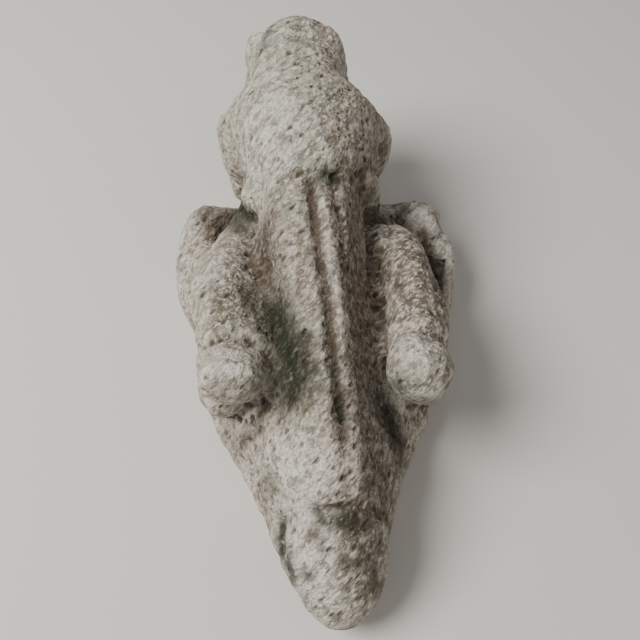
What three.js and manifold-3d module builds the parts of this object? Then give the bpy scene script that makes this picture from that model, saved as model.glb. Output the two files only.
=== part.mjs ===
import * as THREE from 'three';
import { mergeVertices } from 'three/addons/utils/BufferGeometryUtils.js';
import Module from 'manifold-3d';

// A grasshopper carved from one block of grey stone, its wings folded and its hind legs drawn up.
// Millimetres, +Z up. The head looks along -Y and the figure's own left side is at +X.
// A station is a distance from the tip of the tail towards the face.

// Driving dimensions
const length = 230;
const wingRearStation = 33;
const tailShift = 1.6;
const shieldRearStation = 143;
const collarRearStation = 135;
const neckStation = 204;
const headShift = 1.5;
const buried = 9; // how far a form reaches into the one that it grows from
const groundCut = 40;

// Wings
const wingSeamDrift = 0.066; // sideways drift of the seam for each millimetre of station
const seamCentreStation = 122;
const seamDepth = 1.7;
const ribHeight = 1.3;
const ribWidth = 5.9;
const secondGrooveDepth = 1.3;
const secondGrooveEnd = 78;
const seamEnd = 44;
const wingCrown = 2.2; // how far the wings fall between the seam and their shoulders

// Abdomen
const segmentPitch = 9.2;
const segmentDepth = 2;
const segments = 5;
const firstSegment = 41;
const lastSegment = firstSegment + segments * segmentPitch;

// Hind legs
const kneeStation = 75;
const kneeHeight = 53;
const kneeRadius = 12;

// Middle legs
const cornerWall = 5; // half the thickness of the leg where it turns back

// What differs between the two sides: the sculptor left the wall beside the left thigh thicker
const leftLeg = {
  kneeOut: 31,
  thighBow: 34.5,
  shinReach: 41,
  wall: 10,
  wallReach: 60,
  wallClosing: 24,
  middleKnee: { station: 161, out: 46, up: 24.5, breadth: 11, radius: 9 },
};
const rightLeg = {
  kneeOut: 32.5,
  thighBow: 37,
  shinReach: 44,
  wall: 3.8,
  wallReach: 63,
  wallClosing: 13,
  middleKnee: { station: 157, out: 48, up: 29.5, breadth: 11.5, radius: 9.5 },
};

const wasm = await Module();
wasm.setup();

const stone = new THREE.MeshStandardMaterial({ color: 0xa5a294, roughness: 0.95, metalness: 0 });

// A smooth line through stops of [station, value], level beyond its ends
function smoothLine(...stops) {
  const slopeAt = (i) => {
    const before = stops[Math.max(i - 1, 0)];
    const after = stops[Math.min(i + 1, stops.length - 1)];
    return (after[1] - before[1]) / (after[0] - before[0]);
  };
  return (station) => {
    const next = stops.findIndex(([at]) => at > station);
    const i = next === -1 ? stops.length - 2 : Math.max(next - 1, 0);
    const [start, end] = [stops[i], stops[i + 1]];
    const span = end[0] - start[0];
    const t = THREE.MathUtils.clamp((station - start[0]) / span, 0, 1);
    const keepStart = (1 + 2 * t) * (1 - t) ** 2;
    const bendStart = t * (1 - t) ** 2 * span * slopeAt(i);
    const bendEnd = t ** 2 * (1 - t) * span * slopeAt(i + 1);
    return keepStart * start[1] + bendStart + (1 - keepStart) * end[1] - bendEnd;
  };
}

// A point of the figure: its station, its distance to the figure's left, and its height
function place(station, left, up) {
  return new THREE.Vector3(left, length / 2 - station, up);
}

// Even steps from one value to another, both included
function steps(from, to, count) {
  return Array.from({ length: count }, (_, i) => from + ((to - from) * i) / (count - 1));
}

// A raised or sunk line across a surface: 1 on the line and 0 a few widths from it
function ridge(distance, width) {
  return Math.exp(-((distance / width) ** 2));
}

// Signed power, which squares off or sharpens a round section
function bend(value, power) {
  return Math.sign(value) * Math.abs(value) ** power;
}

// A closed geometry through rings with equal numbers of points, with a fan over each end
function loft(rings) {
  const count = rings[0].length;
  const centres = [rings[0], rings.at(-1)].map((ring) => ring
    .reduce((sum, point) => sum.add(point), new THREE.Vector3())
    .divideScalar(count));
  const positions = [...rings.flat(), ...centres].flatMap((point) => point.toArray());
  const firstCentre = rings.length * count;
  const lastRing = (rings.length - 1) * count;
  const faces = [];
  for (let j = 0; j < count; j += 1) {
    const next = (j + 1) % count;
    faces.push(firstCentre, next, j);
    faces.push(firstCentre + 1, lastRing + j, lastRing + next);
    for (let i = 0; i < rings.length - 1; i += 1) {
      const [a, b] = [i * count, (i + 1) * count];
      faces.push(a + j, a + next, b + next, a + j, b + next, b + j);
    }
  }
  const geometry = new THREE.BufferGeometry();
  geometry.setAttribute('position', new THREE.Float32BufferAttribute(positions, 3));
  geometry.setIndex(faces);
  return geometry;
}

// A solid for joining and cutting; a geometry that is inside out is turned round first
function solid(geometry) {
  const bare = geometry.clone();
  bare.deleteAttribute('normal');
  bare.deleteAttribute('uv');
  const merged = mergeVertices(bare, 1e-4);
  const vertProperties = Float32Array.from(merged.attributes.position.array);
  const triVerts = Uint32Array.from(merged.index.array);
  const made = new wasm.Manifold(new wasm.Mesh({ numProp: 3, vertProperties, triVerts }));
  if (made.volume() > 0) return made;
  return new wasm.Manifold(new wasm.Mesh({ numProp: 3, vertProperties, triVerts: triVerts.reverse() }));
}

// A limb along a curved path, with rounded ends
function limb(stops, rings, sides) {
  const path = new THREE.CatmullRomCurve3(stops.map((stop) => place(...stop.at)));
  const share = (i) => i / (stops.length - 1);
  const wide = smoothLine(...stops.map((stop, i) => [share(i), stop.wide]));
  const high = smoothLine(...stops.map((stop, i) => [share(i), stop.high]));
  const endShare = 0.12;
  const up = new THREE.Vector3(0, 0, 1);
  const sections = steps(0.004, 0.996, rings).map((t) => {
    const fromEnd = Math.min(t, 1 - t, endShare) / endShare;
    const rounding = Math.sqrt(1 - (1 - fromEnd) ** 2);
    const centre = path.getPoint(t);
    const across = new THREE.Vector3().crossVectors(path.getTangent(t), up).normalize();
    const over = new THREE.Vector3().crossVectors(across, path.getTangent(t)).normalize();
    return Array.from({ length: sides }, (_, j) => {
      const angle = (2 * Math.PI * j) / sides;
      return centre.clone()
        .addScaledVector(across, Math.cos(angle) * wide(t) * rounding)
        .addScaledVector(over, bend(Math.sin(angle), 0.85) * high(t) * rounding);
    });
  });
  return loft(sections);
}

// A round knob, such as a knee or an eye
function knob(centre, radii, slices = 14, layers = 9) {
  const geometry = new THREE.SphereGeometry(1, slices, layers);
  geometry.scale(radii[0], radii[1], radii[2]);
  geometry.translate(...centre.toArray());
  return geometry;
}

// Abdomen and thorax: a keel with a flat belly, its flanks cut into segments behind the knees
function trunk() {
  const halfWidth = smoothLine(
    [4, 5], [12, 12.5], [22, 18], [34, 22], [48, 27.5], [71, 39.5], [88, 46], [106, 48.5], [125, 51],
    [140, 52], [150, 42], [157, 29], [168, 27.5], [190, 27], [212, 20],
  );
  const broadest = smoothLine(
    [4, 16], [20, 14], [45, 11], [71, 8], [105, 12], [140, 14], [158, 38], [168, 42], [212, 42],
  );
  const top = smoothLine(
    [4, 20], [22, 27], [34, 34], [48, 42], [71, 52], [105, 59], [145, 65], [165, 74], [212, 72],
  );
  const bottom = smoothLine([4, 10], [12, 4], [28, -1], [45, -8], [190, -8], [200, -2], [212, 8]);
  const slope = smoothLine(
    [4, 1], [30, 1], [50, 1.5], [88, 1.6], [108, 2.3], [146, 2.3], [158, 0.8], [212, 0.8],
  );
  const pointsAround = 28;
  const sectionAt = (station) => Array.from({ length: pointsAround }, (_, j) => {
    const angle = (2 * Math.PI * (j + 0.5)) / pointsAround;
    const rise = Math.sin(angle);
    const power = rise > 0 ? slope(station) : 0.5;
    const reach = rise > 0 ? top(station) - broadest(station) : broadest(station) - bottom(station);
    const cut = segmentCut(station) * THREE.MathUtils.smoothstep(rise, 0, 0.3);
    const left = bend(Math.cos(angle), power) * (halfWidth(station) - cut);
    return place(station, left, broadest(station) + rise * reach);
  });
  const tail = steps(4, firstSegment - 2, 7);
  const flank = steps(0, segments - 1, segments)
    .flatMap((i) => [0.02, 0.5, 0.97].map((share) => firstSegment + (i + share) * segmentPitch));
  const chest = [...steps(lastSegment + 4, 142, 6), 148, 152, 156, 160, 168, ...steps(180, 212, 4)];
  return loft([...tail, ...flank, ...chest].map(sectionAt));
}

// Depth of the saw-toothed cut between one abdomen segment and the next
function segmentCut(station) {
  if (station < firstSegment || station > lastSegment) return 0;
  const share = ((station - firstSegment) / segmentPitch) % 1;
  return segmentDepth * (1 - share);
}

// The last lobe of the abdomen, which shows behind the wings
function tailLobe() {
  const halfWidth = smoothLine([0, 2.5], [2, 6.5], [6, 11], [12, 14.5], [22, 17], [34, 17.8], [42, 17]);
  const top = smoothLine([0, 16], [2, 20.5], [6, 25.5], [12, 31.5], [22, 38.5], [34, 43.5], [42, 44]);
  const bottom = smoothLine([0, 11], [2, 8], [6, 6], [42, 8]);
  return loft([0, 0.8, 2, 4, 7, 11, 16, 22, 28, 35, 42].map((station) => {
    const middle = (top(station) + bottom(station)) / 2;
    const halfHeight = (top(station) - bottom(station)) / 2;
    return Array.from({ length: 20 }, (_, j) => {
      const angle = (2 * Math.PI * (j + 0.5)) / 20;
      const left = bend(Math.cos(angle), 0.85) * halfWidth(station) - tailShift;
      return place(station, left, middle + Math.sin(angle) * halfHeight);
    });
  }));
}

// Both folded wings: a roof with a seam, a rib on its right and a second groove beside the rib
function wings() {
  const crest = smoothLine(
    [33, 47], [45, 53], [62, 59], [80, 64.5], [97, 69.5], [120, 74.5], [136, 77.5], [152, 79],
  );
  const spread = smoothLine(
    [33, 19], [45, 25.5], [57, 26.5], [66, 23], [80, 19.5], [105, 19.5], [130, 20.5], [152, 21],
  );
  const edge = smoothLine([33, 25], [45, 24], [57, 29], [66, 38], [80, 46], [105, 51], [130, 57], [152, 62]);
  const leftFlat = smoothLine([62, 6], [72, 4], [85, 6], [105, 10.5], [137, 15.5], [152, 17]);
  const rightFlat = smoothLine([62, 9], [80, 7.5], [105, 8.5], [137, 11.5], [152, 14]);
  const nearSeam = [-5, -2.6, -1.2, 0, 1.2, 2.8, 5, 7.2, 8.8, 10.2, 12];
  const outward = [0.3, 0.55, 0.75, 0.9, 1];
  const sectionAt = (station) => {
    const seam = (station - seamCentreStation) * wingSeamDrift;
    const half = spread(station);
    const lip = edge(station) - 2.5;
    const drop = crest(station) - edge(station);
    const valleyShare = THREE.MathUtils.smoothstep(station, 54, 72);
    const surface = (left) => {
      const out = Math.abs(left);
      const flat = left > 0 ? leftFlat(station) : rightFlat(station);
      const dome = drop * (out / half) ** 2;
      const crown = wingCrown * Math.min(out / flat, 1) ** 2;
      const valley = crown + (drop - crown) * THREE.MathUtils.smoothstep(out, flat, half);
      const roof = crest(station) - THREE.MathUtils.lerp(dome, valley, valleyShare);
      const right = seam - left;
      const seamShare = THREE.MathUtils.smoothstep(station, seamEnd, seamEnd + 24);
      const groove = seamDepth * seamShare * ridge(right, 1.6);
      const rib = ribHeight * ridge(right - ribWidth * 0.75, ribWidth * 0.45);
      const second = secondGrooveDepth * ridge(right - ribWidth * 1.5, 1.6);
      const fade = THREE.MathUtils.smoothstep(station, secondGrooveEnd, secondGrooveEnd + 20);
      return place(station, left, roof + rib - groove - second * fade);
    };
    const middle = nearSeam.map((right) => seam - right);
    const leftSide = outward.map((share) => THREE.MathUtils.lerp(middle[0], half, share)).reverse();
    const rightSide = outward.map((share) => THREE.MathUtils.lerp(middle.at(-1), -half, share));
    return [
      ...[...leftSide, ...middle, ...rightSide].map(surface),
      place(station, -half + 1.2, lip),
      place(station, -half * 0.6, lip - buried),
      place(station, half * 0.6, lip - buried),
      place(station, half - 1.2, lip),
    ];
  };
  return loft(steps(wingRearStation, 152, 25).map(sectionAt));
}

// A ring of the thorax like a saddle, whose rear edge slants down and forward on both sides
function saddle(rear, front, halfWidth, top, rings) {
  const lean = smoothLine([0, 1], [0.5, 0.45], [1, 0.1]);
  const lowerEdge = 36;
  const broadest = 50;
  const pointsOver = 20;
  const overhang = 0.38;
  return loft(steps(0, 1, rings).map((share) => {
    const station = THREE.MathUtils.lerp(rear, front, share);
    const at = (side, up) => place(station + lean(share) * (top(share) - up), side * halfWidth(share), up);
    const over = steps(-overhang, Math.PI + overhang, pointsOver).map((angle) => {
      const rise = bend(Math.sin(angle), 0.9);
      const reach = rise > 0 ? top(share) - broadest : 34;
      return at(bend(Math.cos(angle), 0.95), broadest + rise * reach);
    });
    const under = [-0.5, 0, 0.5].map((side) => at(side, lowerEdge + 4));
    return [...over, ...under];
  }));
}

// The large shield behind the head
function shield() {
  const halfWidth = smoothLine([0, 28], [0.25, 31.5], [0.55, 33.5], [0.83, 28.5], [1, 21.5]);
  const top = smoothLine([0, 80.8], [0.12, 84.6], [0.4, 89.4], [0.85, 88.6], [1, 86.6]);
  return saddle(shieldRearStation, neckStation, halfWidth, top, 12);
}

// The narrow ring behind the shield, which shows only beside the wings
function collar() {
  const halfWidth = smoothLine([0, 24], [0.25, 26.5], [1, 30]);
  const top = smoothLine([0, 68], [0.25, 71], [1, 76]);
  return saddle(collarRearStation, shieldRearStation + buried, halfWidth, top, 3);
}

// The head: a block, rounded on top, with an upright face that narrows down to the mouth
function head() {
  const halfWidth = smoothLine(
    [10, 7], [16, 10.5], [26, 13.5], [45, 17.5], [66, 20], [78, 18.5], [85, 14.5], [88.5, 7],
  );
  const face = smoothLine(
    [10, 214], [16, 220], [26, 226], [45, 228.5], [66, 230], [78, 229.5], [85, 227], [88.5, 221],
  );
  const roundness = smoothLine([10, 0.8], [45, 0.62], [74, 0.7], [88.5, 1]);
  const back = 194;
  const mouth = (up) => 1.6 * (ridge(up - 23, 1.6) + ridge(up - 33, 1.6));
  const levels = [10, 13, 16, 19, 22, 23.5, 26, 31, 33, 36, 45, 56, 66, 73, 79, 83, 86, 87.8, 88.5];
  return loft(levels.map((up) => {
    const front = face(up) - mouth(up);
    const middle = (front + back) / 2;
    return Array.from({ length: 22 }, (_, j) => {
      const angle = (2 * Math.PI * (j + 0.5)) / 22;
      const left = headShift + bend(Math.cos(angle), roundness(up)) * halfWidth(up);
      return place(middle + bend(Math.sin(angle), roundness(up)) * (front - middle), left, up);
    });
  }));
}

// What stands out on one side of the head and thorax: the eye, the cheek at the neck and the shoulder
function sideLobes(side) {
  return [
    knob(place(219, headShift + side * 16.5, 70), [6, 10, 12], 12, 8),
    knob(place(208, headShift + side * 17.5, 67), [5, 5, 9], 10, 6),
    knob(place(185, side * 27.5, 53), [8.5, 15, 17], 14, 8),
  ];
}

// A hind leg: a thick thigh from the thorax back to the knee, and the shin folded under it
function hindLeg(side) {
  const { kneeOut, thighBow, shinReach } = side > 0 ? leftLeg : rightLeg;
  const thigh = limb([
    { at: [145, side * (thighBow - 8), 34], wide: 7, high: 10 },
    { at: [132, side * (thighBow - 3), 41], wide: 10.5, high: 13 },
    { at: [114, side * thighBow, 45], wide: 12.8, high: 14 },
    { at: [92, side * (thighBow - 2), 47], wide: 11.5, high: 12.5 },
    { at: [kneeStation + 2, side * kneeOut, kneeHeight - 2], wide: 10, high: 11 },
  ], 14, 16);
  const shin = limb([
    { at: [kneeStation, side * (kneeOut + 3), kneeHeight - 6], wide: 8.5, high: 9 },
    { at: [84, side * (shinReach - 4), 28], wide: 9, high: 10 },
    { at: [98, side * shinReach, 8], wide: 8.5, high: 10 },
    { at: [118, side * (shinReach + 4), 2], wide: 8, high: 8 },
  ], 10, 12);
  const knee = knob(place(kneeStation, side * kneeOut, kneeHeight), [kneeRadius, kneeRadius, kneeRadius - 1]);
  return [thigh, shin, knee];
}

// The stone left between the left thigh and the wings, which slopes down to them
function haunch() {
  return limb([
    { at: [137, 27, 36], wide: 7.5, high: 11 },
    { at: [114, 26.5, 42.5], wide: 10, high: 13.5 },
    { at: [88, 24, 45], wide: 10.5, high: 12.5 },
    { at: [73, 22, 43], wide: 8, high: 9 },
  ], 12, 14);
}

// A middle leg, which goes out from the thorax and then back along the thigh as a wall of stone.
// The hollow inside its bend is only part cut down.
function middleLeg(side) {
  const { wall, wallReach, wallClosing, middleKnee } = side > 0 ? leftLeg : rightLeg;
  const outer = wallReach - wall;
  const corner = Math.min(wall, cornerWall);
  const leg = limb([
    { at: [163, side * 22, 16], wide: 5.5, high: 22 },
    { at: [166, side * 37, 14], wide: 6.5, high: 21.5 },
    { at: [164.5, side * (wallReach - corner - 4.5), 13], wide: corner, high: 20 },
    { at: [145, side * outer, 11], wide: wall, high: 17.5 },
    { at: [122, side * (outer - 0.4 * wallClosing), 8], wide: wall, high: 15 },
    { at: [100, side * (outer - wallClosing), 6], wide: wall, high: 12 },
  ], 16, 14);
  const { station, out, up, breadth, radius } = middleKnee;
  const knee = knob(place(station, side * out, up), [breadth, radius, radius], 12, 9);
  const infill = knob(place(146, side * 39, 0), [20, 21, 30], 14, 10);
  return [leg, knee, infill];
}

// A front leg, folded down from the shoulder with its foot under the chin
function frontLeg(side) {
  return [limb([
    { at: [184, side * 26, 42], wide: 6, high: 8 },
    { at: [192, side * 28, 24], wide: 6.5, high: 8 },
    { at: [204, side * 25, 9], wide: 6, high: 7 },
    { at: [217, side * 17, 3.5], wide: 5, high: 5 },
  ], 10, 12)];
}

// Everything below the belly, which is cut off flat
function ground() {
  const slab = new THREE.BoxGeometry(2 * length, 2 * length, groundCut);
  slab.translate(0, 0, -groundCut / 2);
  return slab;
}

function grasshopper() {
  const legs = [1, -1].flatMap((side) => [
    ...hindLeg(side),
    ...middleLeg(side),
    ...frontLeg(side),
    ...sideLobes(side),
  ]);
  const forms = [trunk(), tailLobe(), wings(), collar(), shield(), head(), haunch(), ...legs].map(solid);
  const carved = forms.reduce((whole, form) => whole.add(form)).subtract(solid(ground()));
  const { vertProperties, triVerts } = carved.getMesh();
  const geometry = new THREE.BufferGeometry();
  geometry.setAttribute('position', new THREE.BufferAttribute(vertProperties, 3));
  geometry.setIndex(new THREE.BufferAttribute(triVerts, 1));
  geometry.computeVertexNormals();
  geometry.computeBoundingBox();
  const middle = geometry.boundingBox.getCenter(new THREE.Vector3());
  geometry.translate(-middle.x, -middle.y, 0);
  const mesh = new THREE.Mesh(geometry, stone);
  mesh.name = 'grasshopper';
  return mesh;
}

const group = new THREE.Group();
group.add(grasshopper());

export default group;
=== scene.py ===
import math

import bmesh
import bpy
import numpy as np
from mathutils import Matrix, Vector


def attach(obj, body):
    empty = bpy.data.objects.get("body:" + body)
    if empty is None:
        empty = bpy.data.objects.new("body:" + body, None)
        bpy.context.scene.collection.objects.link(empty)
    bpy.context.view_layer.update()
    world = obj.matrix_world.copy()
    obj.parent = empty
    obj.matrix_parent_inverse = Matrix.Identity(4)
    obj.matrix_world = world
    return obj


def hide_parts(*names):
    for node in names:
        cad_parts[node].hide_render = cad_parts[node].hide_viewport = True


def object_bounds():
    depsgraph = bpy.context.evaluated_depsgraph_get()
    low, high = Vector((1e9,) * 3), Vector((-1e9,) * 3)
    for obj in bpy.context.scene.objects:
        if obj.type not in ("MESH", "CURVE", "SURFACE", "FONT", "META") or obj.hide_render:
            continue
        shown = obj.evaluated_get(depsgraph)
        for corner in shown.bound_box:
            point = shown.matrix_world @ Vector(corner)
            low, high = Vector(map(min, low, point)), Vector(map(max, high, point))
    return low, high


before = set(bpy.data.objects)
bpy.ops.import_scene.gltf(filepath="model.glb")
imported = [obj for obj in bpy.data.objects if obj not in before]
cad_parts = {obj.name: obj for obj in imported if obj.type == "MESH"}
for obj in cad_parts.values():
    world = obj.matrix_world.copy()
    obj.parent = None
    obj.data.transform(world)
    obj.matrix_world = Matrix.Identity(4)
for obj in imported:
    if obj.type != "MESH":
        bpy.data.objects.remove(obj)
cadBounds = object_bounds()
mm = 0.001

# The figure's own measures: stations run in millimetres from the tail's tip to the face,
# and its middle line lies a little beside the middle of its box
figure = {
    "length": 230.0,
    "middleShift": 1.606,
    "seamCentreStation": 122.0,
    "seamDrift": 0.066,
    "ribBesideSeam": 4.6,
    "secondGrooveBesideSeam": 8.9,
    "kneeStation": 75.0,
    "kneeHeight": 53.0,
    "leftKneeOut": 31.0,
    "rightKneeOut": 32.5,
    "headShift": 1.5,
    "eyeStation": 219.0,
    "eyeOut": 16.5,
    "eyeHeight": 70.0,
    "eyeHalfSizes": (10.0, 6.0, 12.0),
    "mouthHeight": 23.0,
    "upperMouthHeight": 33.0,
    "jointStation": 50.2,
    "jointStep": 9.2,
    "jointCount": 5,
}

# Colours as the eye names them
tones = {
    "stoneChip": "#E4DFD2",
    "stoneLight": "#CAC3B3",
    "stoneMid": "#A79D8B",
    "stoneGreen": "#B4B9A5",
    # a rosy tint of the stone, used also for painted warm reflection on the flanks and the shaded right side
    "stoneRosy": "#B79F8F",
    "stoneDark": "#5B5042",
    # the dark brown of earth, used also for painted shade in creases, hollows and on the shaded right side
    "earthAndShade": "#44372A",
    "moss": "#23281A",
    "floor": "#DAD6CF",
}


def linear(code):
    parts = [int(code[i:i + 2], 16) / 255 for i in (1, 3, 5)]
    return tuple(c / 12.92 if c <= 0.04045 else ((c + 0.055) / 1.055) ** 2.4 for c in parts) + (1.0,)


def addNode(tree, kind, settings):
    # a setting is a property of the node, or an input's value or the socket that feeds it
    node = tree.nodes.new(kind)
    for key, value in settings.items():
        if not isinstance(key, int) and key not in node.inputs:
            setattr(node, key, value)
        elif isinstance(value, bpy.types.NodeSocket):
            tree.links.new(value, node.inputs[key])
        else:
            node.inputs[key].default_value = value
    return node


def at(station, left, up):
    return Vector(((left + figure["middleShift"]) * mm, (figure["length"] / 2 - station) * mm, up * mm))


def byStation(points):
    return figure["length"] / 2 - points[:, 1], points[:, 0] - figure["middleShift"], points[:, 2]


def bump(distance, width):
    return np.exp(-(distance / width) ** 2)


def ease(value, start, end):
    t = np.clip((value - start) / (end - start), 0, 1)
    return t * t * (3 - 2 * t)


# Stone left standing in the corners of the solid: balls that overlap from stop to stop,
# each stop (station, left, up, radius) in millimetres
stoneLeft = {
    "besideLeftThigh": [(150, 44, 24, 8), (132, 42, 29, 9), (112, 39, 32, 9), (94, 37, 32, 8)],
    "leftThighToHaunch": [(134, 29, 42, 9), (114, 29.5, 46, 10.5), (90, 27, 47, 10)],
    "leftValley": [(134, 19, 52, 5), (112, 18.5, 50, 5), (92, 17, 48, 5), (78, 16, 46, 5)],
    "rightValley": [(134, -21, 44, 5), (112, -21, 44, 5), (92, -21, 43, 5)],
    "nape": [(203, -9, 78.5, 8), (205, 0, 80, 8), (204, 12, 79, 8)],
    "leftLegCorner": [(165.5, 49, 27, 5.5), (167.5, 45, 29, 5.5), (167, 33, 28, 5.5)],
    "rightLegPlate": [(163.5, -45, 31, 6), (155, -50, 29, 6), (147, -53.5, 25, 6)],
    "rightThighCorner": [(139, -26, 46.5, 6), (130, -27, 49, 6)],
    "headAboveRightEye": [(215.5, -12, 80.5, 6.5), (209, -12.5, 80, 6)],
    "underLeftShield": [(157, 26, 42, 5.5), (151, 25.5, 50, 5.5), (144, 20, 51, 5)],
    "leftCollar": [(153, 22.5, 61.5, 5), (150, 18.5, 64, 5)],
    "leftCollarTop": [(152, 19, 67.5, 4.5), (154, 20, 69, 4)],
    "rightCollar": [(155, -24, 62, 4.5), (152, -21, 66, 4.5)],
    "tailLobeLeft": [(27, 12.2, 30, 4.6), (20, 11, 27, 4.6), (14, 9.5, 23, 4.4)],
    "rightLegCrease": [(163.5, -36, 27.5, 4.5), (160, -38.5, 28.5, 4.5)],
    "rightLegFoot": [(143, -50.5, 19, 5), (139, -53.5, 17, 4.5), (133, -53, 16, 4.5)],
    "lowRightFlank": [(80, -36, 12, 7), (73, -35, 14, 6)],
}

# How the stone is worked over the solid, in millimetres, and the rounds of its wear
carving = {
    "gridSize": 1.02,
    "ballsPerStop": 6,
    "wearRounds": 24,
    "softRounds": 70,
    "seamDeeper": 0.7,
    "ribHigher": 0.1,
    "ribKnots": 0.45,
    "secondGrooveDeeper": 0.2,
    "kneeRingDeeper": 0.9,
    "kneeRingRadius": 14.2,
    "kneeRimHigher": 0.6,
    "kneeRimRadius": 17.8,
    "eyeRingDeeper": 0.9,
    "eyeRingInFront": 1.4,
    "mouthDeeper": 1.3,
    "segmentDeeper": 0.7,
    "baseFlat": 0.5,
}

# Where the hand was uneven: how far the stone goes to the figure's left, the station and half width
# along the body, which side, and where outwards and upwards it sets in and is full
uneven = [
    (4.2, 196, 9, "right", (6, 20), (50, 66)),  # the neck is narrower on its right
    (2.4, 218, 8, "right", (6, 20), (50, 66)),  # and so is the head
    (-1.2, 178, 6, "right", (6, 20), (50, 66)),  # the shield is wider on its right
    (2.6, 189, 10, "left", (6, 20), (50, 66)),  # and the neck on its left
    (1.3, 209.5, 3.5, "left", (12, 18), (50, 58)),  # a cheek behind each eye
    (-1.2, 212, 4, "right", (10, 16), (50, 58)),
    (4.5, 119, 14, "right", (36, 46), (36, 48)),  # the right thigh is thinner in its front half
    (2.8, 156, 6, "right", (50, 58), (-2, -1)),  # and the plate of the right leg is pressed in
]

# Worn soft: runs of (station, left) in millimetres, half width, and how much
softened = [
    ([(134, 20), (112, 18), (92, 16), (78, 15), (66, 16)], 7.0, 0.9),
    ([(140, -20), (112, -19), (92, -20), (74, -22)], 6.0, 0.8),
    ([(205, 18), (203, 8), (202, -6), (204, -16)], 9.0, 1.0),
    ([(143, 2), (147, 18), (162, 29)], 5.0, 0.95),
    ([(160, 29), (152, 26), (144, 21)], 6.0, 0.9),
    ([(155, -22), (152, -27), (150, -31)], 5.0, 0.85),
]

# Lines and hollows cut from above: a run of (station, left), depth and half width in millimetres,
# "steep" where the sides are cut too, and the heights where a cut sets in or ends
cuts = {
    "wingEnd": {"run": [(31.6, -17), (33, -12), (33.4, -6), (32.8, 0), (32.6, 5)],
                "deep": 1.0, "wide": 1.8, "waver": 0.6},
    "tailGroove": {"run": [(31.5, 17.0), (28, 17.8), (25.5, 17.6)], "deep": 1.7, "wide": 1.5, "steep": True},
    "shieldEdge": {"run": [(168, 31), (158, 27), (149, 20), (145, 12), (143, 2), (142, -6), (145, -14),
                           (152, -22), (164, -29)], "deep": 0.35, "wide": 1.8},
    "legCrease": {"run": [(162, -34), (157, -38.5), (153, -42.5), (149, -47.5), (143, -50.5), (132, -50),
                          (118, -49)], "deep": 1.4, "wide": 2.4},
    "leftHollow": {"run": [(152, 29), (147, 23)], "deep": 2.0, "wide": 4.5, "ends": (52, 58)},
    "rightHollow": {"run": [(150, -32), (146, -23)], "deep": 2.0, "wide": 4.5, "ends": (52, 58)},
    "eyeNick": {"run": [(215.8, 17), (215.8, 28)],
                "deep": 1.3, "wide": 1.5, "steep": True, "setsIn": (52, 60)},
    "crack": {"run": [(25, 13.5), (22, 15), (21, 12), (22.5, 10)], "deep": 0.9, "wide": 0.9},
}


# The blank: the solid with more stone left in its corners
def addStone(bm, stops):
    count = carving["ballsPerStop"]
    for (s0, l0, u0, r0), (s1, l1, u1, r1) in zip(stops, stops[1:]):
        for i in range(count + 1):
            t = i / count
            centre = at(s0 + (s1 - s0) * t, l0 + (l1 - l0) * t, u0 + (u1 - u0) * t)
            radius = (r0 + (r1 - r0) * t) * mm
            bmesh.ops.create_icosphere(bm, subdivisions=2, radius=radius, matrix=Matrix.Translation(centre))


def makeBlank():
    blank = bpy.data.objects.new("blank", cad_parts["grasshopper"].data.copy())
    bpy.context.scene.collection.objects.link(blank)
    bm = bmesh.new()
    bm.from_mesh(blank.data)
    bmesh.ops.remove_doubles(bm, verts=bm.verts, dist=0.00001)
    for stops in stoneLeft.values():
        addStone(bm, stops)
    bm.to_mesh(blank.data)
    bm.free()
    remesh = blank.modifiers.new("grid", "REMESH")
    remesh.mode = "VOXEL"
    remesh.voxel_size = carving["gridSize"] * mm
    remesh.adaptivity = 0
    gridded = bpy.data.meshes.new_from_object(blank.evaluated_get(bpy.context.evaluated_depsgraph_get()))
    bpy.data.objects.remove(blank)
    print("blank:", len(gridded.vertices), "points")
    return gridded


# Wear and carving, on arrays of points
def readPoints(mesh):
    points = np.empty(len(mesh.vertices) * 3)
    mesh.vertices.foreach_get("co", points)
    return points.reshape(-1, 3) / mm


def readNormals(mesh):
    normals = np.empty(len(mesh.vertices) * 3)
    mesh.vertex_normals.foreach_get("vector", normals)
    return normals.reshape(-1, 3)


def readEdges(mesh):
    edges = np.empty(len(mesh.edges) * 2, dtype=np.int32)
    mesh.edges.foreach_get("vertices", edges)
    return edges.reshape(-1, 2)


def writePoints(mesh, points):
    mesh.vertices.foreach_set("co", (points * mm).ravel())
    mesh.update()


def settle(points, edges, rounds, steps):
    # each round moves every point towards the mean of its neighbours, by each of the steps
    a, b = edges[:, 0], edges[:, 1]
    count = len(points)
    degree = np.bincount(edges.ravel(), minlength=count)[:, None]
    points = points.copy()
    for _ in range(rounds):
        for step in steps:
            total = np.stack([
                np.bincount(a, points[b, k], count) + np.bincount(b, points[a, k], count) for k in range(3)
            ], axis=1)
            points += step * (total / degree - points)
    return points


def waver(values, size, seed):
    # a slow random line, for the unsteady hand of the carver
    phase = np.array([0.0, 1.7, 4.1]) + seed
    waves = [np.sin(values / size * k + p) / k for k, p in zip((1.0, 2.3, 4.9), phase)]
    return sum(waves) / 1.5


def along(points, run):
    # distance of each point from a run of (station, left), seen from above
    s, left, _ = byStation(points)
    flat = np.stack([s, left], axis=1)
    best = np.full(len(points), 1e9)
    for start, end in zip(run, run[1:]):
        start, end = np.array(start, float), np.array(end, float)
        span = end - start
        t = np.clip(((flat - start) @ span) / (span @ span), 0, 1)
        best = np.minimum(best, np.linalg.norm(flat - start - t[:, None] * span, axis=1))
    return best


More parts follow.
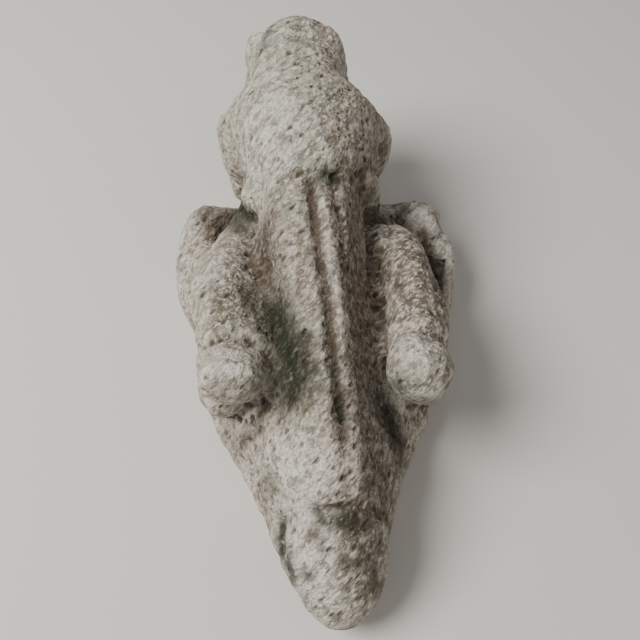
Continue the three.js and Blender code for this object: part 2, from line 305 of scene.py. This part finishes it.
def unevenHand(points):
    s, left, up = byStation(points)
    for toLeft, station, wide, side, outFrom, upFrom in uneven:
        out = left if side == "left" else -left
        points[:, 0] += toLeft * bump(s - station, wide) * ease(out, *outFrom) * ease(up, *upFrom)
    # the left knee is cut shorter behind, and the top of the right leg is low
    points[:, 1] -= 4.0 * bump(s - 63, 7) * ease(up, 38, 46) * ease(left, 16, 22)
    points[:, 2] -= 3.0 * bump(s - 168, 5) * bump(left + 36, 5) * ease(up, 20, 30)
    return points


def wingLines(points, upward):
    # the seam between the wings, the knotted rib and the second groove to its right,
    # from the tail lobe to the shield
    s, left, up = byStation(points)
    onWings = ease(s, 33, 38) * (1 - ease(s, 141, 146)) * ease(up, 40, 46) * upward
    right = (s - figure["seamCentreStation"]) * figure["seamDrift"] - left
    seam = bump(right + 0.8 * waver(s, 6, 1), 2.2)
    rib = bump(right - figure["ribBesideSeam"] + 0.9 * waver(s, 7, 2), 2.0) * ease(s, 48, 60)
    knots = carving["ribHigher"] + carving["ribKnots"] * waver(s, 2.4, 5)
    second = bump(right - figure["secondGrooveBesideSeam"] + waver(s, 6, 3), 1.5) * ease(s, 78, 96)
    lift = knots * rib - carving["seamDeeper"] * seam - carving["secondGrooveDeeper"] * second
    return lift * onWings


def kneeRings(points, upward):
    # a groove round the front of each knee, with a low rim before it
    station = figure["kneeStation"]
    s, _, _ = byStation(points)
    lift = np.zeros(len(points))
    for out in (figure["leftKneeOut"], -figure["rightKneeOut"]):
        knee = np.array([out + figure["middleShift"], figure["length"] / 2 - station, figure["kneeHeight"]])
        reach = np.linalg.norm(points - knee, axis=1)
        lift -= carving["kneeRingDeeper"] * bump(reach - carving["kneeRingRadius"], 1.5)
        lift += carving["kneeRimHigher"] * bump(reach - carving["kneeRimRadius"], 1.8)
    return lift * ease(s, station + 2, station + 7) * upward


def eyeRings(points):
    # a groove round each eye, fainter on the right and deepest in front
    s, left, up = byStation(points)
    long, thick, high = figure["eyeHalfSizes"]
    lift = np.zeros(len(points))
    for side, share in ((1, 1.0), (-1, 0.4)):
        out = left - figure["headShift"] - side * figure["eyeOut"]
        eye = np.stack([(s - figure["eyeStation"]) / long, out / thick, (up - figure["eyeHeight"]) / high])
        ring = bump(np.linalg.norm(eye, axis=0) - 1.22, 0.12) * (side * left > 8)
        front = carving["eyeRingInFront"] * ease(s, figure["eyeStation"], figure["eyeStation"] + 6)
        lift -= carving["eyeRingDeeper"] * ring * (share + front)
    return lift


def mouthAndJoints(points):
    # two lines across the face, and the joints of the abdomen on its flanks
    s, left, up = byStation(points)
    lower = bump(up - figure["mouthHeight"], 1.3)
    upper = bump(up - figure["upperMouthHeight"] + 0.5 * waver(left, 5, 4), 1.3)
    lift = -carving["mouthDeeper"] * ease(s, 212, 219) * (lower + upper)
    flank = (1 - ease(up, 34, 42)) * ease(np.abs(left), 14, 22)
    for i in range(figure["jointCount"]):
        station = figure["jointStation"] + figure["jointStep"] * i
        joint = bump(s - station + 0.5 * waver(up, 6, i + 1), 1.3)
        lift -= carving["segmentDeeper"] * joint * flank
    return lift


def cutLines(points, upward):
    _, left, up = byStation(points)
    lift = np.zeros(len(points))
    for cut in cuts.values():
        across = along(points, cut["run"]) + cut.get("waver", 0) * waver(left, 4, 6)
        depth = cut["deep"] * bump(across, cut["wide"])
        if "steep" not in cut:
            depth *= upward
        if "setsIn" in cut:
            depth *= ease(up, *cut["setsIn"])
        if "ends" in cut:
            depth *= 1 - ease(up, *cut["ends"])
        lift -= depth
    return lift


def carve(points, normals):
    upward = ease(normals[:, 2], 0.15, 0.5)
    lift = wingLines(points, upward) + kneeRings(points, upward) + cutLines(points, upward)
    lift += eyeRings(points) + mouthAndJoints(points)
    return points + normals * lift[:, None]


def makeStone():
    mesh = makeBlank()
    edges = readEdges(mesh)
    # a step inwards and a slightly longer one outwards wear the edges and keep the size
    points = settle(readPoints(mesh), edges, carving["wearRounds"], (0.5, -0.52))
    # some places are worn softer, but not low on the legs
    soft = settle(points, edges, carving["softRounds"], (0.5,))
    share = np.zeros(len(points))
    for run, width, much in softened:
        share = np.maximum(share, much * bump(along(points, run), width))
    points += share[:, None] * ease(points[:, 2], 20, 30)[:, None] * (soft - points)
    points = unevenHand(points)
    writePoints(mesh, points)
    points = carve(points, readNormals(mesh))
    points = settle(points, edges, 2, (0.4,))
    writePoints(mesh, points)
    print("carved")
    return mesh


# The punch was struck from one side, so pits and marks lean: two turns in radians, and the share
# that a pattern's scale keeps along the lean (the smaller it is, the longer the marks)
lean = {
    "turn": 0.93,
    "tip": 0.47,
    "pitScale": 0.55,
    "markScale": 0.54,
}

# The pecked skin, in millimetres
skin = {
    "Wave Size": 13.0,
    "Wave Height": 2.2,
    "Peck Size": 3.0,
    "Peck Depth": 0.9,
    "Pit Spacing": 5.8,
    "Pit Depth": 1.2,
    "Pit Share": 0.58,
    "Seed": 7,
}


def leaning(tree, place, scale):
    for axis, angle in (("Z_AXIS", lean["turn"]), ("X_AXIS", lean["tip"])):
        place = addNode(tree, "ShaderNodeVectorRotate", {
            "rotation_type": axis, "Vector": place, "Angle": angle,
        }).outputs[0]
    return addNode(tree, "ShaderNodeVectorMath", {
        "operation": "MULTIPLY", 0: place, 1: (1.0, scale, 1.0),
    }).outputs[0]


# The pecked skin: a tree that sinks pecks and pits into the surface
def skinTree(material):
    tree = bpy.data.node_groups.new("peckedSkin", "GeometryNodeTree")
    face = tree.interface
    face.new_socket("Geometry", in_out="INPUT", socket_type="NodeSocketGeometry")
    for name, value in skin.items():
        kind = "NodeSocketInt" if name == "Seed" else "NodeSocketFloat"
        socket = face.new_socket(name, in_out="INPUT", socket_type=kind)
        socket.default_value = value
    face.new_socket("Geometry", in_out="OUTPUT", socket_type="NodeSocketGeometry")
    source = addNode(tree, "NodeGroupInput", {}).outputs

    # the place in millimetres, moved along for another seed
    place = addNode(tree, "GeometryNodeInputPosition", {}).outputs[0]
    inMm = addNode(tree, "ShaderNodeVectorMath", {"operation": "SCALE", 0: place, "Scale": 1 / mm}).outputs[0]
    seedStep = addNode(tree, "ShaderNodeMath", {
        "operation": "MULTIPLY", 0: source["Seed"], 1: 13.7,
    }).outputs[0]
    shift = addNode(tree, "ShaderNodeCombineXYZ", {0: seedStep}).outputs[0]
    spot = addNode(tree, "ShaderNodeVectorMath", {"operation": "ADD", 0: inMm, 1: shift}).outputs[0]
    perMm = {}
    for name in ("Wave Size", "Peck Size", "Pit Spacing"):
        perMm[name] = addNode(tree, "ShaderNodeMath", {
            "operation": "DIVIDE", 0: 1.0, 1: source[name],
        }).outputs[0]

    waves = addNode(tree, "ShaderNodeTexNoise", {
        "Vector": spot, "Scale": perMm["Wave Size"], "Detail": 2.0, "Roughness": 0.55,
    }).outputs[0]
    pecks = addNode(tree, "ShaderNodeTexVoronoi", {
        "feature": "SMOOTH_F1", "Vector": spot, "Scale": perMm["Peck Size"], "Smoothness": 0.35,
    }).outputs["Distance"]
    # a pit in some of the cells, deepest in the middle and gone a quarter of the spacing away from it
    cells = addNode(tree, "ShaderNodeTexVoronoi", {
        "feature": "F1", "Vector": leaning(tree, spot, lean["pitScale"]), "Scale": perMm["Pit Spacing"],
        "Randomness": 1.0,
    }).outputs
    bowl = addNode(tree, "ShaderNodeMapRange", {
        "interpolation_type": "SMOOTHSTEP", "Value": cells["Distance"],
        "From Min": 0.05, "From Max": 0.24, "To Min": 1.0, "To Max": 0.0,
    }).outputs[0]
    chance = addNode(tree, "ShaderNodeSeparateXYZ", {0: cells["Color"]}).outputs[0]
    sure = addNode(tree, "ShaderNodeMath", {
        "operation": "SUBTRACT", 0: source["Pit Share"], 1: 0.15,
    }).outputs[0]
    present = addNode(tree, "ShaderNodeMapRange", {
        "Value": chance, "From Min": sure, "From Max": source["Pit Share"], "To Min": 1.0, "To Max": 0.0,
    }).outputs[0]
    pit = addNode(tree, "ShaderNodeMath", {"operation": "MULTIPLY", 0: bowl, 1: present}).outputs[0]

    # waves and pecks rise and sink about a middle, pits only sink
    rise = 0.0
    for pattern, middle, depth, way in (
        (waves, 0.5, "Wave Height", "ADD"),
        (pecks, 0.45, "Peck Depth", "ADD"),
        (pit, 0.0, "Pit Depth", "SUBTRACT"),
    ):
        off = addNode(tree, "ShaderNodeMath", {"operation": "SUBTRACT", 0: pattern, 1: middle}).outputs[0]
        deep = addNode(tree, "ShaderNodeMath", {"operation": "MULTIPLY", 0: off, 1: source[depth]}).outputs[0]
        rise = addNode(tree, "ShaderNodeMath", {"operation": way, 0: rise, 1: deep}).outputs[0]
    # the flat underside stays as it is, and the skin sets in from 0.6 to 2.5 mm above it
    height = addNode(tree, "ShaderNodeSeparateXYZ", {0: inMm}).outputs[2]
    clear = addNode(tree, "ShaderNodeMapRange", {
        "Value": height, "From Min": 0.6, "From Max": 2.5,
    }).outputs[0]
    rise = addNode(tree, "ShaderNodeMath", {"operation": "MULTIPLY", 0: rise, 1: clear}).outputs[0]
    rise = addNode(tree, "ShaderNodeMath", {"operation": "MULTIPLY", 0: rise, 1: mm}).outputs[0]
    normal = addNode(tree, "GeometryNodeInputNormal", {}).outputs[0]
    offset = addNode(tree, "ShaderNodeVectorMath", {
        "operation": "SCALE", 0: normal, "Scale": rise,
    }).outputs[0]

    marked = addNode(tree, "GeometryNodeStoreNamedAttribute", {
        "data_type": "FLOAT", "domain": "POINT", "Geometry": source["Geometry"], "Name": "pit", "Value": pit,
    }).outputs[0]
    moved = addNode(tree, "GeometryNodeSetPosition", {"Geometry": marked, "Offset": offset}).outputs[0]
    real = addNode(tree, "GeometryNodeRealizeInstances", {"Geometry": moved}).outputs[0]
    painted = addNode(tree, "GeometryNodeSetMaterial", {"Geometry": real, "Material": material}).outputs[0]
    addNode(tree, "NodeGroupOutput", {"Geometry": painted})
    return tree


def applySkin(mesh, material):
    rough = bpy.data.objects.new("rough", mesh)
    bpy.context.scene.collection.objects.link(rough)
    modifier = rough.modifiers.new("skin", "NODES")
    modifier.node_group = skinTree(material)
    for item in modifier.node_group.interface.items_tree:
        if item.in_out == "INPUT" and item.name in skin:
            modifier[item.identifier] = skin[item.name]
    made = bpy.data.meshes.new_from_object(rough.evaluated_get(bpy.context.evaluated_depsgraph_get()))
    bpy.data.objects.remove(rough)
    print("skin:", len(made.vertices), "points")
    return made


# Where damp, earth and wear show, and where shade, highlight and warm reflection are painted: runs of
# (station, left) in millimetres, half width, how strongly, and for some the height that they stay below
stainsAndLight = {
    # a dark film, and painted shade over the shaded right side of the wings, thigh, shield and tail
    "filmAndShade": [
        ([(140, -2), (112, -4), (84, -6), (60, -9)], 9.0, 0.55),
        ([(136, 10), (112, 8), (90, 6)], 9.0, 0.3),
        ([(138, -9), (112, -10), (84, -12), (62, -14)], 5.0, 0.55),
        ([(80, 2), (60, -2)], 9.0, 0.55),
        ([(132, -33), (104, -35), (90, -36)], 12.0, 0.9),
        ([(78, -40), (72, -40)], 5.0, 0.5),
        ([(124, 31), (100, 27)], 8.0, 0.45),
        ([(112, 33), (91, 33)], 6.5, 0.9),
        ([(166, -3), (160, -4)], 4.0, 0.4),
        ([(108, -45), (96, -43.5)], 2.5, 0.7),
        ([(127, 21), (116, 20)], 5.5, 0.95),
        ([(60, -12), (40, -14)], 9.0, 0.6),
        ([(176, -11), (160, -10), (150, -9)], 8.0, 0.5),
        ([(216, -2), (210, -8)], 9.0, 0.35),
        ([(30, -5), (20, -8), (10, -7)], 6.5, 0.75),
    ],
    # rubbed lighter by wear, and painted highlight on the lit left side, the right plate and the knees
    "wornAndHighlight": [
        ([(160, 14), (184, 18)], 12.0, 0.7),
        ([(150, 20), (150, 8)], 6.0, 0.5),
        ([(128, 37), (116, 37)], 5.0, 0.5),
        ([(74, 31), (76, 31)], 9.0, 0.9),
        ([(76, -29), (78, -30)], 7.5, 1.0),
        ([(66, 38), (52, 31)], 6.0, 0.8),
        ([(91, 27), (84, 27)], 4.0, 0.8),
        ([(158, 56), (146, 59), (134, 57)], 3.5, 0.7),
        ([(166, -42), (162, -44), (157, -48), (151, -53), (142, -58)], 6.0, 1.0),
        ([(50, 14), (40, 8), (42, 0)], 8.0, 0.85),
        ([(24, 9), (16, 8), (8, 4)], 7.5, 1.0),
        ([(222, 14), (216, 15)], 4.0, 0.6),
        ([(207, -14), (203, -15)], 4.0, 0.6),
        ([(219, 21), (214, 20)], 4.0, 0.7),
    ],
    "moss": [
        ([(99, 16), (90, 13.5), (80, 11.5), (70, 10), (67, 12)], 6.0, 1.0),
        ([(84, 8), (72, 6)], 4.5, 0.9),
        ([(108, 25), (97, 22), (87, 18.5), (76, 16)], 4.0, 0.6),
        ([(156, 30), (151, 27), (145.5, 23)], 4.0, 1.0, 60),
        ([(141.5, -4), (142.5, -9)], 3.0, 1.0),
        ([(29.5, 4), (28, -1), (28.5, -7)], 3.0, 0.85),
        ([(31.5, 17), (28, 17.6), (25, 17.4)], 2.0, 1.0),
        ([(22.5, 16.4), (18, 14.8), (15, 13.4)], 1.3, 0.9),
        ([(74, -2.6), (70, -3)], 2.6, 0.6),
        ([(62, -4), (57, -4.4)], 2.4, 0.9),
        ([(66, -22), (60, -24)], 5.5, 1.0),
        ([(218, 14), (206, 16)], 2.6, 0.6),
        ([(46, 22), (42, 20)], 3.0, 0.6),
        ([(26, -5), (24, -8)], 2.6, 0.6),
    ],
    # a rosy tint, and painted warm reflection on the low left flank and the shaded right side
    "rosy": [
        ([(74, 37), (56, 31), (40, 24)], 5.0, 1.0),
        ([(130, -14), (100, -15), (80, -15)], 7.0, 0.8),
        ([(48, -2), (40, -4)], 6.0, 0.8),
        ([(30, 12), (24, 12)], 3.5, 0.7),
        ([(222, -8), (214, -12)], 6.0, 0.8),
        ([(120, -32), (96, -34)], 10.0, 0.7),
        ([(186, -14), (172, -18)], 8.0, 0.6),
    ],
    "sage": [
        ([(220, 10), (212, 18), (204, 6)], 9.0, 0.9),
        ([(190, 16), (168, 14), (152, 14)], 12.0, 0.6),
        ([(192, -2), (178, -4)], 6.0, 0.8),
        ([(74, -26), (70, -28)], 5.0, 0.8),
        ([(46, 20), (38, 18)], 5.0, 0.9),
        ([(20, 4), (12, 6)], 5.0, 0.7),
    ],
    # earth, and painted shade in the creases beside the legs, in the recesses by the front legs, along the
    # seam, and on the shaded right side of the wings, knee and tail
    "earthAndShade": [
        ([(140, -16), (118, -16), (100, -16), (84, -16), (70, -18), (58, -22)], 7.0, 0.5),
        ([(138, -11), (110, -12), (84, -13)], 4.5, 0.5),
        ([(76, -9), (64, -10), (48, -14), (38, -17)], 7.0, 0.6),
        ([(140, 1.2), (120, 0), (100, -1.6), (82, -2.8), (66, -3.8), (50, -4.6)], 2.4, 0.85),
        ([(130, -8), (104, -9.5), (84, -10.5)], 1.5, 0.6),
        ([(130, 19), (112, 20), (96, 16), (80, 12), (68, 10)], 6.5, 0.8),
        ([(60, -25), (54, -25)], 5.0, 0.8),
        ([(27, -12), (20, -12.5)], 4.0, 0.7),
        ([(69, 21.5), (65, 25), (64, 30)], 3.2, 0.85),
        ([(158, 30), (150, 25)], 5.0, 0.9, 59),
        ([(108, 27), (97, 23)], 4.5, 0.6),
        ([(165, 32), (164, 38), (160, 42)], 5.0, 1.0),
        ([(64, 33), (70, 36)], 3.0, 0.5),
        ([(166, 44), (160, 39), (152, 33), (146, 29)], 5.5, 0.9, 59),
        ([(160, -35), (156, -38), (152, -42), (149, -47)], 2.2, 0.8),
        ([(149, -47), (144, -50), (132, -49.5), (118, -48), (104, -48.5)], 3.4, 1.0),
        ([(150, -20), (143, -18.5)], 2.6, 0.9),
        ([(144, -20), (147, -28), (152, -33)], 4.5, 0.8),
        ([(150, -20), (162, -27), (174, -31)], 5.0, 0.4),
        ([(17, -2.6), (16, -6)], 2.6, 1.0),
        ([(20, -9), (16, -12)], 3.0, 0.9),
        ([(16, -10), (12, -13)], 3.2, 0.7),
        ([(26, -5), (27, -9)], 2.6, 0.8),
        ([(26, 8), (25, 6)], 2.0, 0.8),
        ([(15, 9.6), (14, 8)], 1.6, 0.8),
        ([(30.5, -8), (31.5, -18)], 3.4, 0.85),
    ],
}


# What the weather leaves, with painted shade, highlight and warm reflection: attributes that the finish reads
def keepInside(points):
    low, high = (np.array(corner) / mm for corner in (cadBounds[0], cadBounds[1]))
    points = np.clip(points, low, high)
    points[points[:, 2] < carving["baseFlat"], 2] = 0
    return points


def storeFloat(mesh, name, values):
    attribute = mesh.attributes.get(name) or mesh.attributes.new(name, "FLOAT", "POINT")
    attribute.data.foreach_set("value", values.astype(np.float32))


def weatherAndLight(mesh):
    points = keepInside(readPoints(mesh))
    writePoints(mesh, points)
    edges = readEdges(mesh)
    normals = readNormals(mesh)
    # how far the stone lies below a smoother copy of itself, in millimetres
    near = settle(points, edges, 8, (0.5,))
    wide = settle(near, edges, 90, (0.5,))
    small = ((near - points) * normals).sum(axis=1)
    middle = ((wide - points) * normals).sum(axis=1)
    # crevice and hollow darken the colour with earth: earth and painted shade in creases and hollows
    storeFloat(mesh, "crevice", ease(small, 0.05, 0.5))
    storeFloat(mesh, "hollow", ease(middle, 0.2, 1.8))
    storeFloat(mesh, "proud", ease(-small, 0.05, 0.45))
    # stains and painted light lie on what faces up or stands upright, and one with a top fades out 4 mm below
    # it
    upward = ease(normals[:, 2], -0.3, 0.1)
    for name, runs in stainsAndLight.items():
        cover = np.zeros(len(points))
        for run, width, strength, *top in runs:
            below = 1 - ease(points[:, 2], top[0] - 4, top[0]) if top else 1
            cover = np.maximum(cover, strength * bump(along(points, run), width) * below)
        storeFloat(mesh, name, cover * upward)
    print("weathered", [float(np.percentile(v, 95)) for v in (small, middle)])


# Patterns of the finish: size in millimetres, detail, roughness, and whether they lean with the punch
patterns = {
    "patches": (20, 3.0, 0.6, False),
    "tint": (11, 2.0, 0.6, False),
    "filmAndShadeEdge": (6, 3.0, 0.6, False),
    "hollowEdge": (5, 3.0, 0.6, False),
    "mossEdge": (4, 3.0, 0.6, False),
    "earthAndShadeEdge": (3.2, 3.0, 0.6, False),
    "mottle": (3.0, 2.0, 0.5, True),
    "coarse": (1.6, 2.0, 0.5, True),
    "glints": (1.3, 2.0, 0.5, True),
    "strokes": (1.25, 2.0, 0.55, True),
    "fine": (1.0, 4.0, 0.7, False),
    "grains": (0.9, 3.0, 0.7, True),
}

# Masks cut from the patterns: where each one begins to show and where it shows in full
bands = {
    "lightPatches": ("patches", 0.35, 0.65),
    "greenTint": ("tint", 0.52, 0.68),
    "rosyTint": ("tint", 0.46, 0.32),
    "filmAndShadeBroken": ("filmAndShadeEdge", 0.25, 0.6),
    "hollowBroken": ("hollowEdge", 0.3, 0.6),
    "mossBroken": ("mossEdge", 0.2, 0.45),
    "earthAndShadeBroken": ("earthAndShadeEdge", 0.15, 0.45),
    "darkMottle": ("mottle", 0.48, 0.62),
    "lightMottle": ("mottle", 0.47, 0.33),
    "chips": ("glints", 0.53, 0.63),
    "chipsInMoss": ("glints", 0.52, 0.64),
    "strokes": ("strokes", 0.5, 0.62),
    "darkGrains": ("grains", 0.5, 0.64),
    "dashShape": ("dashDistance", 0.29, 0.13),
    "dashThere": ("dashChance", 0.3, 0.5),
    "dashDeep": ("dashStrength", -0.9, 0.8),
}

# Where earth gathers and where shade is painted in crevices, hollows and along the painted runs: how much of
# it, and the masks that must all show there
soil = [
    (0.5, ["pit"]),
    (0.6, ["crevice"]),
    (0.8, ["dash"]),
    (0.65, ["hollow", "hollowBroken"]),
    (1.0, ["earthAndShade", "earthAndShadeBroken"]),
]

# Coats over the middle tone, the first one lowest: tone, strength, and the masks that must all show there
coats = [
    ("stoneLight", 1.0, ["lightPatches"]),
    ("stoneGreen", 0.5, ["greenTint"]),
    ("stoneRosy", 0.5, ["rosyTint"]),
    ("stoneGreen", 0.7, ["sage"]),
    # a rosy tint, with painted warm reflection
    ("stoneRosy", 0.8, ["rosy"]),
    # a dark film, with painted shade on the shaded right side
    ("stoneDark", 1.0, ["filmAndShade", "filmAndShadeBroken"]),
    # wear, with painted highlight
    ("stoneChip", 0.7, ["wornAndHighlight"]),
    ("stoneDark", 0.52, ["darkMottle"]),
    ("stoneChip", 0.5, ["lightMottle"]),
    ("stoneChip", 0.6, ["chips"]),
    ("stoneDark", 0.5, ["darkGrains"]),
    ("stoneDark", 1.0, ["strokes", "strokeShare"]),
    ("stoneChip", 0.3, ["proud"]),
    # earth, with painted shade in crevices, hollows and creases
    ("earthAndShade", 0.84, ["soil"]),
    ("moss", 0.93, ["moss", "mossBroken"]),
    ("stoneMid", 0.12, ["moss", "chipsInMoss"]),
]

# Depths of the finish, in millimetres, and the size of the cells that hold one punch mark each
relief = {
    "fine": 0.5,
    "coarse": 1.5,
    "dash": 0.45,
    "dashCell": 3.0,
}


# Andesite, pecked with stone tools and ground, then left out in the weather:
# dull light grey, sandy to the eye, with earth in its pits and moss in its grooves, and painted shade,
# highlight and warm reflection in its colour
def andesite():
    material = bpy.data.materials.new("peckedAndesite")
    material.use_nodes = True
    tree = material.node_tree
    shader = tree.nodes["Principled BSDF"]
    shader.inputs["Roughness"].default_value = 0.93
    shader.inputs["IOR"].default_value = 1.5
    shader.inputs["Specular IOR Level"].default_value = 0.25

    spot = addNode(tree, "ShaderNodeTexCoord", {}).outputs["Object"]
    leaningSpot = leaning(tree, spot, lean["markScale"])
    drawn = {}
    for name, (size, detail, roughness, leans) in patterns.items():
        drawn[name] = addNode(tree, "ShaderNodeTexNoise", {
            "Vector": leaningSpot if leans else spot, "Scale": 1 / (size * mm),
            "Detail": detail, "Roughness": roughness,
        }).outputs[0]
    # short dashes, left by the punch, deep or faint, in a little over half of the cells
    cells = addNode(tree, "ShaderNodeTexVoronoi", {
        "Vector": leaningSpot, "Scale": 1 / (relief["dashCell"] * mm),
    }).outputs
    chances = addNode(tree, "ShaderNodeSeparateColor", {0: cells["Color"]}).outputs
    drawn["dashDistance"] = cells["Distance"]
    drawn["dashChance"] = chances[0]
    drawn["dashStrength"] = chances[1]

    masks = {}
    for name in [*stainsAndLight, "pit", "crevice", "hollow", "proud"]:
        masks[name] = addNode(tree, "ShaderNodeAttribute", {"attribute_name": name}).outputs["Fac"]
    for name, (pattern, begins, full) in bands.items():
        masks[name] = addNode(tree, "ShaderNodeMapRange", {
            "interpolation_type": "SMOOTHSTEP", "Value": drawn[pattern], "From Min": begins, "From Max": full,
        }).outputs[0]

    def together(strength, names):
        cover = strength
        for name in names:
            cover = addNode(tree, "ShaderNodeMath", {
                "operation": "MULTIPLY", 0: cover, 1: masks[name],
            }).outputs[0]
        return cover

    # strokes are faint on clean stone and strong where the dark film and its painted shade lie
    masks["strokeShare"] = addNode(tree, "ShaderNodeMath", {
        "operation": "MULTIPLY_ADD", 0: masks["filmAndShade"], 1: 0.55, 2: 0.28,
    }).outputs[0]
    masks["dash"] = together(1.0, ["dashShape", "dashThere", "dashDeep"])
    masks["soil"] = 0.0
    for amount, names in soil:
        masks["soil"] = addNode(tree, "ShaderNodeMath", {
            "operation": "ADD", "use_clamp": True, 0: masks["soil"], 1: together(amount, names),
        }).outputs[0]
    colour = linear(tones["stoneMid"])
    for tone, strength, names in coats:
        colour = addNode(tree, "ShaderNodeMix", {
            "data_type": "RGBA", 0: together(strength, names), 6: colour, 7: linear(tones[tone]),
        }).outputs[2]
    tree.links.new(colour, shader.inputs["Base Color"])

    fine = addNode(tree, "ShaderNodeBump", {
        "Distance": relief["fine"] * mm, "Height": drawn["fine"],
    }).outputs[0]
    coarse = addNode(tree, "ShaderNodeBump", {
        "Distance": relief["coarse"] * mm, "Height": drawn["coarse"], "Normal": fine,
    }).outputs[0]
    punched = addNode(tree, "ShaderNodeBump", {
        "invert": True, "Distance": relief["dash"] * mm, "Height": masks["dash"], "Normal": coarse,
    }).outputs[0]
    tree.links.new(punched, shader.inputs["Normal"])
    return material


def addStonePiece():
    material = andesite()
    mesh = applySkin(makeStone(), material)
    weatherAndLight(mesh)
    mesh.name = "grasshopperStone"
    for polygon in mesh.polygons:
        polygon.use_smooth = True
    piece = bpy.data.objects.new("grasshopperStone", mesh)
    bpy.context.scene.collection.objects.link(piece)
    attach(piece, "root")
    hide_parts("grasshopper")
    print("stone piece:", sum(len(p.vertices) - 2 for p in mesh.polygons), "triangles")


# Floor, light and camera
studio = {
    "floorHalf": 3.0,  # metres
    "floorRoughness": 0.85,
    "skyColour": (0.92, 0.95, 1.0, 1.0),
    "skyStrength": 0.25,
    "lampsLookAt": (0, 0, 0.04),
}

# Soft round lamps: place and width in metres, power in watts
lamps = {
    "window": {"place": (0.66, 0.08, 0.84), "width": 0.6, "power": 14.5, "colour": (1.0, 0.99, 0.965)},
    "room": {"place": (-0.7, 0.5, 0.8), "width": 1.2, "power": 1.8, "colour": (1.0, 0.9, 0.78)},
}

# Where the picture is taken from: degrees and millimetres
view = {
    "down": 58.0,
    "turn": 4.71,
    "roll": 0.96,
    "angle": 50.0,
    "place": (12.23, 147.72, 261.36),
}


def addFloor():
    mesh = bpy.data.meshes.new("floor")
    half = studio["floorHalf"]
    corners = [(-half, -half, 0), (half, -half, 0), (half, half, 0), (-half, half, 0)]
    mesh.from_pydata(corners, [], [(0, 1, 2, 3)])
    # painted board, matt and pale, so that it stays behind the stone
    material = bpy.data.materials.new("mattPaintedBoard")
    material.use_nodes = True
    shader = material.node_tree.nodes["Principled BSDF"]
    shader.inputs["Base Color"].default_value = linear(tones["floor"])
    shader.inputs["Roughness"].default_value = studio["floorRoughness"]
    mesh.materials.append(material)
    floor = bpy.data.objects.new("floor", mesh)
    bpy.context.scene.collection.objects.link(floor)


def addLights():
    for name, values in lamps.items():
        lamp = bpy.data.lights.new(name, "AREA")
        lamp.shape = "DISK"
        lamp.size = values["width"]
        lamp.energy = values["power"]
        lamp.color = values["colour"]
        holder = bpy.data.objects.new(name, lamp)
        place = Vector(values["place"])
        holder.location = place
        holder.rotation_euler = (Vector(studio["lampsLookAt"]) - place).to_track_quat("-Z", "Y").to_euler()
        bpy.context.scene.collection.objects.link(holder)
    world = bpy.data.worlds.new("softRoom")
    bpy.context.scene.world = world
    world.use_nodes = True
    backdrop = world.node_tree.nodes["Background"]
    backdrop.inputs["Color"].default_value = studio["skyColour"]
    backdrop.inputs["Strength"].default_value = studio["skyStrength"]


def addCamera():
    down, turn, roll, angle = (math.radians(view[key]) for key in ("down", "turn", "roll", "angle"))
    ahead = Vector((-math.sin(turn) * math.cos(down), -math.cos(turn) * math.cos(down), -math.sin(down)))
    right = Vector((-math.cos(turn), math.sin(turn), 0))
    up = right.cross(ahead)
    rightRolled = right * math.cos(roll) + up * math.sin(roll)
    upRolled = up * math.cos(roll) - right * math.sin(roll)
    lens = bpy.data.cameras.new("camera")
    lens.sensor_width = 36
    lens.lens = lens.sensor_width / 2 / math.tan(angle / 2)
    lens.clip_start = 0.01
    camera = bpy.data.objects.new("camera", lens)
    turnMatrix = Matrix((rightRolled, upRolled, -ahead)).transposed().to_4x4()
    camera.matrix_world = Matrix.Translation(Vector(view["place"]) * mm) @ turnMatrix
    bpy.context.scene.collection.objects.link(camera)
    bpy.context.scene.camera = camera


addCamera()
addFloor()
addLights()
addStonePiece()
